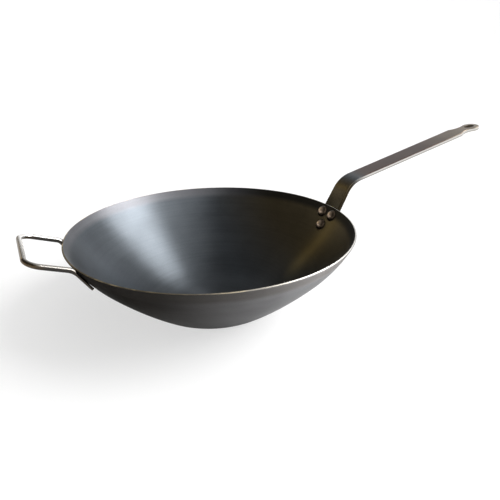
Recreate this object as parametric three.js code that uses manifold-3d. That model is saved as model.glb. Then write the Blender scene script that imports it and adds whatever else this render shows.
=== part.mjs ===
// Carbon steel wok: a spun bowl, a strip handle held by three rivets and a spot-welded rod helper handle.
// Millimetres, +Z up. The origin is the middle of the flat base, and +X runs out along the long handle.

import * as THREE from 'three';
import { mergeVertices } from 'three/addons/utils/BufferGeometryUtils.js';
import Module from 'manifold-3d';

const wasm = await Module();
wasm.setup();

const { degToRad } = THREE.MathUtils;

// Bowl: a flat base, then a corner, a wall and a lip, each an arc that starts at the last one's end slope.
const RIM_RADIUS = 175;
const BASE_RADIUS = 45;
const SHEET = 2;
const CORNER_RADIUS = 71;
const CORNER_TURN = degToRad(35.8);
const WALL_TURN = degToRad(8.7);
const LIP_RADIUS = 162;
const LIP_TURN = degToRad(17.8);

// Long handle: a strip that lies on the wall, rises past the rim, bends over and runs out as the grip.
const STRIP_THICKNESS = 4.8;
const FOOT_WIDTH = 32.4;
const FOOT_NOSE_RADIUS = 10;
const STRIP_RISE = 24.2;
const STRIP_BEND_RADIUS = 31;
const GRIP_SLOPE = degToRad(13.55);
const GRIP_WIDTH = 26.6;
const GRIP_LENGTH = 171.3;

// Hanging end of the grip: it dips a little, with rounded shoulders, a neck and a round eye with a slot.
const TAIL_LENGTH = 47.6;
const TAIL_DIP = degToRad(6.6);
const SHOULDER_RADIUS = 5;
const NECK_WIDTH = 18;
const NECK_TO_EYE = 14.5;
const EYE_RADIUS = 12;
const EYE_WALL = 6.8;
const EYE_SLOT_TRAVEL = 4;

// Rivets: two beside each other under the rim and one below them, set square to the wall.
const RIVET_SHANK = 5;
const RIVET_SPACING = 22;
const RIVET_ROW_BELOW_RIM = 11;
const RIVET_ROW_PITCH = 17.4;
const HEAD_DIAMETER = 15.6;
const HEAD_LAND = 0.5;
const HEAD_DOME = 4.4;
const TAIL_DIAMETER = 9.5;
const TAIL_LAND = 0.5;
const TAIL_DOME = 1.4;

// Helper handle: a rod bent to a loop, its two legs turned down along the wall and pressed flat for welding.
const ROD_DIAMETER = 6;
const LOOP_WIDTH = 93.2;
const LOOP_REACH = 45.8;
const LOOP_SLOPE = degToRad(19.3);
const LOOP_CORNER_RADIUS = 15;
const LEG_LENGTH = 30;
const LEG_BEND_RADIUS = 10;
const LEG_FLAT_LENGTH = 22;
const LEG_FLAT_THICKNESS = 3;
const LEG_FLAT_WIDTH = 9.6;
const LEG_FLAT_RUNOUT = 9;

// Clearances between pieces that sit on each other or pass through each other.
const SEAT_GAP = 0.3;
const HEAD_GAP = 0.4;
const HOLE_GAP = 0.3;

// Facets: counts round the bowl, a rivet and the rod, and steps along each stretch of an outline or path.
const BOWL_SEGMENTS = 80;
const ROUND_SEGMENTS = 16;
const ROD_SIDES = 12;
const ROD_STEPS = 36;
const CORNER_STEPS = 4;
const WALL_STEPS = 3;
const LIP_STEPS = 5;
const FLANK_STEPS = 4;
const FOOT_STEPS = 2;
const RISE_STEPS = 4;
const BEND_STEPS = 9;
const STRIP_COLUMNS = 4;
const DOME_STEPS = 4;
const ARC_STEP = degToRad(12);

// The last few degrees of the strip's round ends are left flat, and a cutter runs a few thicknesses long.
const END_FLAT = degToRad(12);
const CUTTER_THICKNESSES = 4;

// Turns a closed geometry into a solid for cutting, with shared corners merged and no flat slivers.
function solidOf(geometry) {
  const bare = geometry.clone();
  bare.deleteAttribute('normal');
  bare.deleteAttribute('uv');
  const merged = mergeVertices(bare);
  const corners = merged.index.array;
  const triangles = [];
  for (let i = 0; i < corners.length; i += 3) {
    const [a, b, c] = corners.slice(i, i + 3);
    if (a !== b && b !== c && c !== a) triangles.push(a, b, c);
  }
  return new wasm.Manifold(new wasm.Mesh({
    numProp: 3,
    vertProperties: new Float32Array(merged.attributes.position.array),
    triVerts: new Uint32Array(triangles),
  }));
}

// Turns a cut solid back into a geometry.
function geometryOf(solid) {
  const mesh = solid.getMesh();
  const geometry = new THREE.BufferGeometry();
  geometry.setAttribute('position', new THREE.BufferAttribute(mesh.vertProperties, 3));
  geometry.setIndex(new THREE.BufferAttribute(mesh.triVerts, 1));
  geometry.computeVertexNormals();
  return geometry;
}

// A body of revolution about Z from a profile of radius and height.
function revolve(profile, segments) {
  return new THREE.LatheGeometry(profile, segments).rotateX(Math.PI / 2);
}

// Evenly spaced numbers from one value to another, both included.
function spread(from, to, steps) {
  return Array.from({ length: steps + 1 }, (_, i) => THREE.MathUtils.lerp(from, to, i / steps));
}

// Points on a circle in a plane, between two angles.
function arcPoints(centre, radius, from, to, steps = Math.max(2, Math.ceil(Math.abs(to - from) / ARC_STEP))) {
  return spread(from, to, steps).map(
    (angle) => new THREE.Vector2(centre.x + radius * Math.cos(angle), centre.y + radius * Math.sin(angle)),
  );
}

// Section of the bowl's outer face, as arcs about centres inside the bowl.
const wallSlope = CORNER_TURN;
const lipSlope = wallSlope + WALL_TURN;
const rimSlope = lipSlope + LIP_TURN;
const cornerRun = CORNER_RADIUS * Math.sin(wallSlope);
const lipRun = LIP_RADIUS * (Math.sin(rimSlope) - Math.sin(lipSlope));
const wallRun = RIM_RADIUS - BASE_RADIUS - cornerRun - lipRun;
const wallRadius = wallRun / (Math.sin(lipSlope) - Math.sin(wallSlope));
const sectionArcs = [
  { radius: CORNER_RADIUS, from: 0, to: wallSlope, steps: CORNER_STEPS },
  { radius: wallRadius, from: wallSlope, to: lipSlope, steps: WALL_STEPS },
  { radius: LIP_RADIUS, from: lipSlope, to: rimSlope, steps: LIP_STEPS },
];

// A direction square to a slope, pointing out of the bowl.
function outwardAt(slope) {
  return new THREE.Vector2(Math.sin(slope), -Math.cos(slope));
}

// The direction up a slope.
function alongAt(slope) {
  return new THREE.Vector2(Math.cos(slope), Math.sin(slope));
}

const rimPoint = new THREE.Vector2(BASE_RADIUS, 0);
for (const arc of sectionArcs) {
  arc.centre = rimPoint.clone().addScaledVector(outwardAt(arc.from), -arc.radius);
  rimPoint.copy(arc.centre).addScaledVector(outwardAt(arc.to), arc.radius);
}

// The section moved out by a distance, from the base to the rim.
function sectionPoints(outward) {
  const start = new THREE.Vector2(BASE_RADIUS, -outward);
  return sectionArcs.reduce((points, arc) => {
    const slopes = spread(arc.from, arc.to, arc.steps).slice(1);
    const radius = arc.radius + outward;
    return points.concat(slopes.map((slope) => arc.centre.clone().addScaledVector(outwardAt(slope), radius)));
  }, [start]);
}

// A place on the section at a distance below the rim along the outer face, moved out by another distance.
function wallAt(belowRim, outward) {
  let left = belowRim;
  for (const arc of [...sectionArcs].reverse()) {
    const length = arc.radius * (arc.to - arc.from);
    if (left <= length) {
      const slope = arc.to - left / arc.radius;
      return { point: arc.centre.clone().addScaledVector(outwardAt(slope), arc.radius + outward), slope };
    }
    left -= length;
  }
  return { point: new THREE.Vector2(BASE_RADIUS - left, -outward), slope: 0 };
}

// The bowl before its rivet holes are made.
const bowlProfile = [
  new THREE.Vector2(0, 0),
  ...sectionPoints(0),
  ...sectionPoints(-SHEET).reverse(),
  new THREE.Vector2(0, SHEET),
];
const bowlBlank = solidOf(revolve(bowlProfile, BOWL_SEGMENTS));

// Stations along the strip's seat face, from the nose of the foot to the tip of the eye.
const bendTurn = rimSlope - GRIP_SLOPE;
const bendLength = (STRIP_BEND_RADIUS + STRIP_THICKNESS) * bendTurn;
const lowerRivetAt = FOOT_NOSE_RADIUS;
const upperRivetsAt = lowerRivetAt + RIVET_ROW_PITCH;
const rimAt = upperRivetsAt + RIVET_ROW_BELOW_RIM;
const bendAt = rimAt + STRIP_RISE;
const gripAt = bendAt + bendLength;
const tailAt = gripAt + GRIP_LENGTH;
const eyeAt = tailAt + TAIL_LENGTH - EYE_RADIUS;
const neckAt = eyeAt - NECK_TO_EYE;

// The strip's runs above the rim, straight or dipping evenly by a turn, each starting where the last one ends.
const stripRuns = [
  { length: STRIP_RISE, turn: 0 },
  { length: bendLength, turn: bendTurn },
  { length: GRIP_LENGTH, turn: 0 },
  { length: TAIL_LENGTH, turn: TAIL_DIP },
];

// A place on a run. The chord of an arc leaves at half the arc's turn and is shorter than the arc.
function runAt(run, distance) {
  const turned = (run.turn * distance) / run.length;
  const chord = turned === 0 ? distance : (distance * Math.sin(turned / 2)) / (turned / 2);
  const point = run.start.clone().addScaledVector(alongAt(run.slope - turned / 2), chord);
  return { point, slope: run.slope - turned };
}

let runEnd = { ...wallAt(0, SEAT_GAP), station: rimAt };
for (const run of stripRuns) {
  run.start = runEnd.point;
  run.slope = runEnd.slope;
  run.from = runEnd.station;
  runEnd = { ...runAt(run, run.length), station: run.from + run.length };
}

// The strip's path in the XZ plane, at a depth below its seat face.
function stripAt(station, depth) {
  if (station <= rimAt) return wallAt(rimAt - station, SEAT_GAP + depth);
  const run = stripRuns.findLast(({ from }) => station >= from);
  const { point, slope } = runAt(run, station - run.from);
  return { point: point.addScaledVector(outwardAt(slope), depth), slope };
}

// A point of the formed strip. The foot is pressed to the round of the wall, and flattens out before the bend.
function formStrip(station, across, depth) {
  const { point } = stripAt(station, depth);
  const seatRadius = stripAt(station, 0).point.x;
  const pressed = 1 - THREE.MathUtils.smoothstep(station, rimAt, bendAt);
  const curl = (pressed * across) / seatRadius;
  const chord = curl === 0 ? 1 : Math.sin(curl) / curl;
  const bow = across * Math.tan(curl / 2) * chord;
  return new THREE.Vector3(point.x - bow, across * chord, point.y);
}

// Half outline of the flat blank: station along it, and half its width there.
// The nose goes round the lower rivet and runs on in a straight line to the full foot width.
function footOutline() {
  const centre = new THREE.Vector2(lowerRivetAt, 0);
  const corner = new THREE.Vector2(RIVET_ROW_PITCH, FOOT_WIDTH / 2);
  const tangent = corner.angle() + Math.acos(FOOT_NOSE_RADIUS / corner.length());
  const nose = arcPoints(centre, FOOT_NOSE_RADIUS, Math.PI - END_FLAT, tangent);
  const flank = spread(0, 1, FLANK_STEPS).slice(1, -1);
  const shoulder = centre.clone().add(corner);
  return nose.concat(flank.map((share) => nose[nose.length - 1].clone().lerp(shoulder, share)));
}

// The strip narrows evenly from the upper rivets to the end of the bend.
function taperOutline() {
  const stations = [
    ...spread(upperRivetsAt, rimAt, FOOT_STEPS),
    ...spread(rimAt, bendAt, RISE_STEPS).slice(1),
    ...spread(bendAt, gripAt, BEND_STEPS).slice(1),
  ];
  return stations.map((station) => new THREE.Vector2(
    station,
    THREE.MathUtils.mapLinear(station, upperRivetsAt, gripAt, FOOT_WIDTH / 2, GRIP_WIDTH / 2),
  ));
}

// Shoulder, neck and eye are circles that touch: the neck's radius follows from its width and the eye's place.
function hangingOutline() {
  const halfNeck = NECK_WIDTH / 2;
  const excess = NECK_TO_EYE ** 2 + halfNeck ** 2 - EYE_RADIUS ** 2;
  const neckRadius = excess / (2 * (EYE_RADIUS - halfNeck));
  const eye = new THREE.Vector2(eyeAt, 0);
  const neck = new THREE.Vector2(neckAt, halfNeck + neckRadius);
  const drop = neck.y - GRIP_WIDTH / 2 + SHOULDER_RADIUS;
  const shoulderRun = Math.sqrt((neckRadius + SHOULDER_RADIUS) ** 2 - drop ** 2);
  const shoulder = new THREE.Vector2(neckAt - shoulderRun, GRIP_WIDTH / 2 - SHOULDER_RADIUS);
  const toNeck = neck.clone().sub(shoulder).angle();
  const toEye = neck.clone().sub(eye).angle();
  return [
    ...arcPoints(shoulder, SHOULDER_RADIUS, Math.PI / 2, toNeck),
    ...arcPoints(neck, neckRadius, toNeck + Math.PI, toEye + Math.PI).slice(1),
    ...arcPoints(eye, EYE_RADIUS, toEye, END_FLAT).slice(1),
  ];
}

// The strip's section, one unit wide each way from its middle and one unit deep.
function stripSection() {
  const across = spread(-1, 1, STRIP_COLUMNS);
  const seat = across.map((x) => new THREE.Vector2(x, 0));
  const back = across.map((x) => new THREE.Vector2(x, 1)).reverse();
  return new THREE.Shape([...seat, ...back]);
}

// The formed strip: the section is carried along the outline's stations, each at its own width.
function stripGeometry() {
  const outline = [...footOutline(), ...taperOutline(), ...hangingOutline()];
  const steps = outline.length - 1;
  const geometry = new THREE.ExtrudeGeometry(stripSection(), { steps, depth: steps, bevelEnabled: false });
  const place = geometry.attributes.position;
  for (let i = 0; i < place.count; i += 1) {
    const { x: station, y: half } = outline[Math.round(place.getZ(i))];
    const formed = formStrip(station, -place.getX(i) * half, place.getY(i) * STRIP_THICKNESS);
    place.setXYZ(i, formed.x, formed.y, formed.z);
  }
  return geometry;
}

// The slot through the eye, cut square to the strip there.
function eyeSlot() {
  const radius = EYE_RADIUS - EYE_WALL;
  const outline = new THREE.Shape();
  outline.absarc(0, 0, radius, -Math.PI / 2, Math.PI / 2);
  outline.absarc(-EYE_SLOT_TRAVEL, 0, radius, Math.PI / 2, (3 * Math.PI) / 2);
  const depth = CUTTER_THICKNESSES * STRIP_THICKNESS;
  const curveSegments = ROUND_SEGMENTS / 2;
  const slot = new THREE.ExtrudeGeometry(outline, { depth, bevelEnabled: false, curveSegments });
  const { point, slope } = stripAt(eyeAt, STRIP_THICKNESS / 2);
  return slot.translate(0, 0, -depth / 2).rotateY(-slope).translate(point.x, 0, point.y);
}

// Where each rivet sits: its distance below the rim and its place across the foot.
const rivets = [
  { name: 'rivet_upper_left', belowRim: RIVET_ROW_BELOW_RIM, across: RIVET_SPACING / 2 },
  { name: 'rivet_upper_right', belowRim: RIVET_ROW_BELOW_RIM, across: -RIVET_SPACING / 2 },
  { name: 'rivet_lower', belowRim: RIVET_ROW_BELOW_RIM + RIVET_ROW_PITCH, across: 0 },
];

// Carries a piece made about +Z, with zero at the wall's outer face, to a rivet's place and axis.
function placeOnWall(geometry, { belowRim, across }) {
  const { point, slope } = wallAt(belowRim, 0);
  return geometry.rotateY(Math.PI - slope).translate(point.x, 0, point.y).rotateZ(across / point.x);
}

// A shallow dome from its edge to its crown on the axis, as a profile.
function domeProfile(edgeRadius, edgeHeight, rise) {
  const radius = (edgeRadius ** 2 + rise ** 2) / (2 * Math.abs(rise));
  const half = Math.asin(edgeRadius / radius);
  const crown = edgeHeight + rise;
  const way = Math.sign(rise);
  return spread(half, 0, DOME_STEPS).map(
    (angle) => new THREE.Vector2(radius * Math.sin(angle), crown - way * radius * (1 - Math.cos(angle))),
  );
}

// A rivet: domed head inside the bowl, shank through the wall and the foot, and a closed tail outside.
function rivetGeometry() {
  const headSeat = -SHEET - HEAD_GAP;
  const tailSeat = SEAT_GAP + STRIP_THICKNESS + HEAD_GAP;
  const profile = [
    ...domeProfile(HEAD_DIAMETER / 2, headSeat - HEAD_LAND, -HEAD_DOME).reverse(),
    new THREE.Vector2(HEAD_DIAMETER / 2, headSeat),
    new THREE.Vector2(RIVET_SHANK / 2, headSeat),
    new THREE.Vector2(RIVET_SHANK / 2, tailSeat),
    new THREE.Vector2(TAIL_DIAMETER / 2, tailSeat),
    ...domeProfile(TAIL_DIAMETER / 2, tailSeat + TAIL_LAND, TAIL_DOME),
  ];
  return revolve(profile, ROUND_SEGMENTS);
}

// The drill for a rivet's hole, long enough to pass the wall and the foot.
function rivetDrill() {
  const length = CUTTER_THICKNESSES * (SHEET + SEAT_GAP + STRIP_THICKNESS);
  const radius = RIVET_SHANK / 2 + HOLE_GAP;
  return new THREE.CylinderGeometry(radius, radius, length, ROUND_SEGMENTS).rotateX(Math.PI / 2);
}

// A path of straight runs with an arc of a given radius at each inner corner.
function roundedPath(corners, radii) {
  const path = new THREE.CurvePath();
  let last = corners[0];
  for (let i = 1; i < corners.length - 1; i += 1) {
    const back = corners[i - 1].clone().sub(corners[i]).normalize();
    const on = corners[i + 1].clone().sub(corners[i]).normalize();
    const turn = Math.PI - back.angleTo(on);
    const radius = radii[i - 1];
    const setBack = radius * Math.tan(turn / 2);
    const lever = (4 / 3) * Math.tan(turn / 4) * radius;
    const enter = corners[i].clone().addScaledVector(back, setBack);
    const leave = corners[i].clone().addScaledVector(on, setBack);
    path.add(new THREE.LineCurve3(last, enter));
    path.add(new THREE.CubicBezierCurve3(
      enter,
      enter.clone().addScaledVector(back, -lever),
      leave.clone().addScaledVector(on, -lever),
      leave,
    ));
    last = leave;
  }
  path.add(new THREE.LineCurve3(last, corners[corners.length - 1]));
  return path;
}

// The front leg's line: it lies along the wall, seated halfway down, and bends out at the rim's height.
function frontLeg() {
  const halfLoop = LOOP_WIDTH / 2;
  const { point, slope } = wallAt(LEG_LENGTH / 2, LEG_FLAT_THICKNESS / 2 + SEAT_GAP);
  const reach = Math.sqrt(point.x ** 2 - halfLoop ** 2);
  const seat = new THREE.Vector3(-reach, -halfLoop, point.y);
  const up = new THREE.Vector3((-point.x / reach) * Math.cos(slope), 0, Math.sin(slope)).normalize();
  const outward = new THREE.Vector3(-reach, -halfLoop, 0).setLength(Math.sin(slope));
  outward.z = -Math.cos(slope);
  const bend = seat.clone().addScaledVector(up, (rimPoint.y - seat.z) / up.z);
  return { bend, end: bend.clone().addScaledVector(up, -LEG_LENGTH), outward };
}

// Half the rod's middle line, from the end of the front leg to the middle of the crossbar.
function halfRodPath({ bend, end }) {
  const out = new THREE.Vector3(-Math.cos(LOOP_SLOPE), 0, Math.sin(LOOP_SLOPE));
  const corner = bend.clone().addScaledVector(out, LOOP_REACH);
  const middle = corner.clone().setY(0);
  return roundedPath([end, bend, corner, middle], [LEG_BEND_RADIUS, LOOP_CORNER_RADIUS]);
}

// Rings along half the rod: a middle, directions across the leg's flat and square to it, and both half sizes.
// The leg is pressed flat against the wall and runs out to the round rod before the bend is over.
function rodRings() {
  const leg = frontLeg();
  const path = halfRodPath(leg);
  const length = path.getLength();
  const thin = leg.outward.clone();
  return spread(0, 1, ROD_STEPS).map((share) => {
    const along = path.getTangentAt(share);
    thin.addScaledVector(along, -thin.dot(along)).normalize();
    const roundAt = LEG_FLAT_LENGTH + LEG_FLAT_RUNOUT;
    const round = THREE.MathUtils.smoothstep(share * length, LEG_FLAT_LENGTH, roundAt);
    return {
      middle: path.getPointAt(share),
      wide: new THREE.Vector3().crossVectors(thin, along),
      thin: thin.clone(),
      halfWidth: THREE.MathUtils.lerp(LEG_FLAT_WIDTH, ROD_DIAMETER, round) / 2,
      halfThickness: THREE.MathUtils.lerp(LEG_FLAT_THICKNESS, ROD_DIAMETER, round) / 2,
    };
  });
}

// The rod: a round section carried along the rings and back along their mirror image.
// Where the leg is flat, the section is wider than the rod and cut off at the flat's two faces.
function rodGeometry() {
  const rings = rodRings();
  const steps = 2 * ROD_STEPS;
  const section = new THREE.Shape(arcPoints(new THREE.Vector2(), 1, 0, 2 * Math.PI, ROD_SIDES).slice(1));
  const geometry = new THREE.ExtrudeGeometry(section, { steps, depth: steps, bevelEnabled: false });
  const place = geometry.attributes.position;
  for (let i = 0; i < place.count; i += 1) {
    const step = Math.round(place.getZ(i));
    const ring = rings[Math.min(step, steps - step)];
    const thin = THREE.MathUtils.clamp(
      (place.getY(i) * ROD_DIAMETER) / 2,
      -ring.halfThickness,
      ring.halfThickness,
    );
    const point = ring.middle.clone()
      .addScaledVector(ring.wide, place.getX(i) * ring.halfWidth)
      .addScaledVector(ring.thin, thin);
    place.setXYZ(i, point.x, step > ROD_STEPS ? -point.y : point.y, point.z);
  }
  return geometry;
}

// Finishes: dark blued sheet, strip steel, rivet steel and rod.
const FINISHES = {
  sheet: { color: 0x3d434b, roughness: 0.38, metalness: 1 },
  strip: { color: 0x5f5854, roughness: 0.42, metalness: 1 },
  rivet: { color: 0x5d5248, roughness: 0.36, metalness: 1 },
  rod: { color: 0x6b6158, roughness: 0.34, metalness: 1 },
};

const wok = new THREE.Group();

// Adds a piece to the wok as a mesh with its own material.
function addPiece(name, solid, finish) {
  const mesh = new THREE.Mesh(geometryOf(solid), new THREE.MeshStandardMaterial(FINISHES[finish]));
  mesh.name = name;
  wok.add(mesh);
}

const holes = rivets.map((rivet) => solidOf(placeOnWall(rivetDrill(), rivet)));
const pierce = (solid) => holes.reduce((left, hole) => left.subtract(hole), solid);

addPiece('bowl', pierce(bowlBlank), 'sheet');
addPiece('long_handle', pierce(solidOf(stripGeometry())).subtract(solidOf(eyeSlot())), 'strip');
for (const rivet of rivets) addPiece(rivet.name, solidOf(placeOnWall(rivetGeometry(), rivet)), 'rivet');

addPiece('helper_handle', solidOf(rodGeometry()), 'rod');

export default wok;
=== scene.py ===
"""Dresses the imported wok: fine surfaces for its pieces, their steel finishes, and a white studio round them.

Metres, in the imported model's own frame. The origin is the middle of the flat base, +X runs out along the
long handle, and +Z is up. Sizes repeat the solids' driving dimensions, so that every surface lies on its
node.
"""

import logging
from collections.abc import Callable
from dataclasses import dataclass, field
from enum import Enum
from functools import partial
from math import acos, asin, atan2, cos, hypot, pi, radians, sin, sqrt, tan

import bmesh
import bpy
import numpy as np
from mathutils import Matrix, Vector


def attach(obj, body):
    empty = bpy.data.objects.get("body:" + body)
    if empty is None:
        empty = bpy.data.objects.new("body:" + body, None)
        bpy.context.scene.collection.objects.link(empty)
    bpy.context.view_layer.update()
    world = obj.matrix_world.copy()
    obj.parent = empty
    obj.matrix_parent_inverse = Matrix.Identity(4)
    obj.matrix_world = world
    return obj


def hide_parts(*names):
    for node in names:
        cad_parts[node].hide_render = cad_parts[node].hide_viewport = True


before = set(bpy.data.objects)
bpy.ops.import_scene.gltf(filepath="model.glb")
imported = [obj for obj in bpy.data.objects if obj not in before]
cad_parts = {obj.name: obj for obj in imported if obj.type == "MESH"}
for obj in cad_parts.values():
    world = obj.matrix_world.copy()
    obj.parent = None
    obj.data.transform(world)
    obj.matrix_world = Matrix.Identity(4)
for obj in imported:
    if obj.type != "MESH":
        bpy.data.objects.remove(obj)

LOG = logging.getLogger("wok")
BODY = "root"
MERGE_DISTANCE = 2e-6
TINY = 1e-9
SMOOTH = "SMOOTHSTEP"
SOFT_DETAIL, MID_DETAIL, RICH_DETAIL = 2.0, 3.0, 4.0
# Most values of a noise pattern lie between these two.
NOISE_RANGE = (0.3, 0.7)

Array = np.ndarray
Socket = bpy.types.NodeSocket
Span = tuple[float, float]
Way = tuple[float, float, float]
Adder = Callable[..., bpy.types.bpy_prop_collection]
Dressing = tuple[Socket, dict[str, object]]


class Channel(Enum):
    """Names of the values that a mesh carries for its finish."""

    GRAIN = "grain"
    EDGE = "edge"
    INSIDE = "inside"


@dataclass
class Patch:
    """A grid of points, with a place on the grain and the finish's values at each point.

    Attributes:
        points: Places, rows by columns by three.
        grain: Places on the UV map that the grain follows, rows by columns by two.
        edge: One where the steel is cut or bare, zero on the faces; on rivets, a painted highlight's share.
        inside: One on the bowl's inner face, in the handle's slot a share of one as painted shade, else zero.
    """

    points: Array
    grain: Array
    edge: Array
    inside: Array


def outward(slope: Array | float) -> Array:
    """Direction square to a slope in the section plane, out of the bowl: sine across, minus cosine up."""
    return np.stack([np.sin(slope), -np.cos(slope)], axis=-1)


def along(slope: Array | float) -> Array:
    """Direction up a slope in the section plane: cosine across, sine up."""
    return np.stack([np.cos(slope), np.sin(slope)], axis=-1)


def smoothstep(value: Array, low: float, high: float) -> Array:
    """Rises from zero at low to one at high, as three squares less two cubes of the share between them."""
    share = np.clip((value - low) / (high - low), 0.0, 1.0)
    return share * share * (3.0 - 2.0 * share)


def line_points(start: Array, end: Array, spacing: float) -> Array:
    """Places on a straight line, about a spacing apart, both ends included."""
    steps = max(1, int(np.ceil(np.linalg.norm(np.subtract(end, start)) / spacing)))
    return np.linspace(start, end, steps + 1)


def arc_points(centre: Array, radius: float, start: float, end: float, spacing: float) -> Array:
    """Places on a circle: the centre plus the radius times the cosine and sine of evenly spread angles.

    Args:
        centre: Middle of the circle in its plane.
        radius: Radius of the circle.
        start: First angle.
        end: Last angle.
        spacing: Greatest distance between two places. A short arc keeps a least count of steps.

    Returns:
        Places by two, both ends included.
    """
    least_steps = 6
    steps = max(least_steps, int(np.ceil(abs(end - start) * radius / spacing)))
    angle = np.linspace(start, end, steps + 1)
    return np.asarray(centre) + radius * np.stack([np.cos(angle), np.sin(angle)], axis=-1)


def chain(*stretches: Array) -> Array:
    """Joins stretches of places end to end, leaving out each later stretch's first place."""
    return np.concatenate([stretches[0], *[stretch[1:] for stretch in stretches[1:]]])


def path_length(places: Array) -> Array:
    """Distance along a path at each of its places, from zero at the first."""
    steps = np.linalg.norm(np.diff(places, axis=0), axis=1)
    return np.concatenate([[0.0], np.cumsum(steps)])


def mirrored(patch: Patch) -> Patch:
    """The same patch on the other side of the plane through both handles: every Y is turned round."""
    return Patch(patch.points * np.array([1.0, -1.0, 1.0]), patch.grain, patch.edge, patch.inside)


def grid_faces(rows: int, columns: int) -> Array:
    """Corner numbers of the four-sided faces between neighbouring rows and columns of a grid.

    Args:
        rows: Count of the grid's rows.
        columns: Count of the grid's columns.

    Returns:
        Faces by four.
    """
    corner = np.arange(rows * columns).reshape(rows, columns)
    corners = [corner[:-1, :-1], corner[:-1, 1:], corner[1:, 1:], corner[1:, :-1]]
    return np.stack(corners, axis=-1).reshape(-1, 4)


def revolved(profile: Array, edge: Array, inside: Array, segments: int) -> Patch:
    """Surface of revolution: radius times the cosine and sine of the turn about Z, at the profile's height.

    Args:
        profile: Radius and height at each place.
        edge: Bare steel at each place.
        inside: Inner face at each place.
        segments: Count of steps round the axis.

    Returns:
        The patch, with the turn and the distance along the profile as its grain.
    """
    turn = np.linspace(0.0, 2.0 * pi, segments + 1)
    radius, height = profile[:, :1], profile[:, 1:]
    points = np.stack(
        [radius * np.cos(turn), radius * np.sin(turn), np.broadcast_to(height, (len(profile), len(turn)))],
        axis=-1,
    )
    v, u = np.meshgrid(path_length(profile), turn / (2.0 * pi), indexing="ij")
    shape = v.shape
    return Patch(
        points,
        np.stack([u, v], axis=-1),
        np.broadcast_to(edge[:, None], shape),
        np.broadcast_to(inside[:, None], shape),
    )


def build_piece(
    name: str, patches: list[Patch], node: str, material: bpy.types.Material
) -> bpy.types.Object:
    """Makes one closed, smooth mesh of some patches and puts it in the place of its node.

    The patches' shared borders, seams and poles are merged, and the faces are turned outwards.

    Args:
        name: The piece's name.
        patches: Grids that close to one skin.
        node: Solid that the piece stands for.
        material: The piece's finish.

    Returns:
        The piece, riding on the wok's one body.
    """
    counts = [patch.edge.size for patch in patches]
    offsets = np.concatenate([[0], np.cumsum(counts)[:-1]])
    faces = np.concatenate([grid_faces(*patch.edge.shape) + start for patch, start in zip(patches, offsets)])
    points = np.concatenate([patch.points.reshape(-1, 3) for patch in patches])
    grain = np.concatenate([patch.grain.reshape(-1, 2) for patch in patches])
    mesh = bpy.data.meshes.new(name)
    mesh.from_pydata(points, [], faces)
    values = {
        Channel.EDGE: np.concatenate([patch.edge.ravel() for patch in patches]),
        Channel.INSIDE: np.concatenate([patch.inside.ravel() for patch in patches]),
    }
    for channel, value in values.items():
        attribute = mesh.attributes.new(channel.value, "FLOAT", "POINT")
        attribute.data.foreach_set("value", value.astype(np.float32))
    uv = mesh.uv_layers.new(name=Channel.GRAIN.value)
    uv.uv.foreach_set("vector", grain[faces.ravel()].astype(np.float32).ravel())
    shell = bmesh.new()
    shell.from_mesh(mesh)
    bmesh.ops.remove_doubles(shell, verts=shell.verts, dist=MERGE_DISTANCE)
    bmesh.ops.dissolve_degenerate(shell, edges=shell.edges, dist=MERGE_DISTANCE)
    bmesh.ops.recalc_face_normals(shell, faces=shell.faces)
    shell.to_mesh(mesh)
    shell.free()
    mesh.shade_smooth()
    mesh.materials.append(material)
    piece = bpy.data.objects.new(name, mesh)
    bpy.context.scene.collection.objects.link(piece)
    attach(piece, BODY)
    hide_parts(node)
    return piece


def linear(colour: str) -> tuple[float, float, float, float]:
    """Turns an sRGB hex colour to linear light by the standard curve.

    Args:
        colour: Red, green and blue in hex digits.

    Returns:
        Linear red, green and blue, and an alpha of one.
    """
    srgb = np.array([int(colour[i:i + 2], 16) for i in (1, 3, 5)]) / 255.0
    light = np.where(srgb <= 0.04045, srgb / 12.92, ((srgb + 0.055) / 1.055) ** 2.4)
    return (*light.tolist(), 1.0)


def add_node(
    tree: bpy.types.NodeTree,
    kind: str,
    *values: object,
    at: dict[int | str, object] | None = None,
    **settings: object,
) -> bpy.types.bpy_prop_collection:
    """Adds a node, sets its properties, and fills its inputs with values or with links.

    A colour mix takes its share at input 0 and its two tones at 6 and 7, and gives its result at output 2.

    Args:
        tree: The tree that gets the node.
        kind: Type name of the node.
        values: Values or sockets for the node's first inputs, in their order.
        at: Values or sockets, by the name or number of the input that takes them.
        settings: The node's own properties.

    Returns:
        The node's outputs.
    """
    node = tree.nodes.new(kind)
    for name, value in settings.items():
        setattr(node, name, value)
    for key, value in {**dict(enumerate(values)), **(at or {})}.items():
        if isinstance(value, Socket):
            tree.links.new(value, node.inputs[key])
        else:
            node.inputs[key].default_value = value
    return node.outputs


def start_material(name: str) -> tuple[bpy.types.Material, Adder]:
    """Makes a material with an empty tree.

    Args:
        name: Name of the material.

    Returns:
        The material, and the function that adds nodes to its tree.
    """
    material = bpy.data.materials.new(name)
    material.use_nodes = True
    material.node_tree.nodes.clear()
    return material, partial(add_node, material.node_tree)


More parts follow.
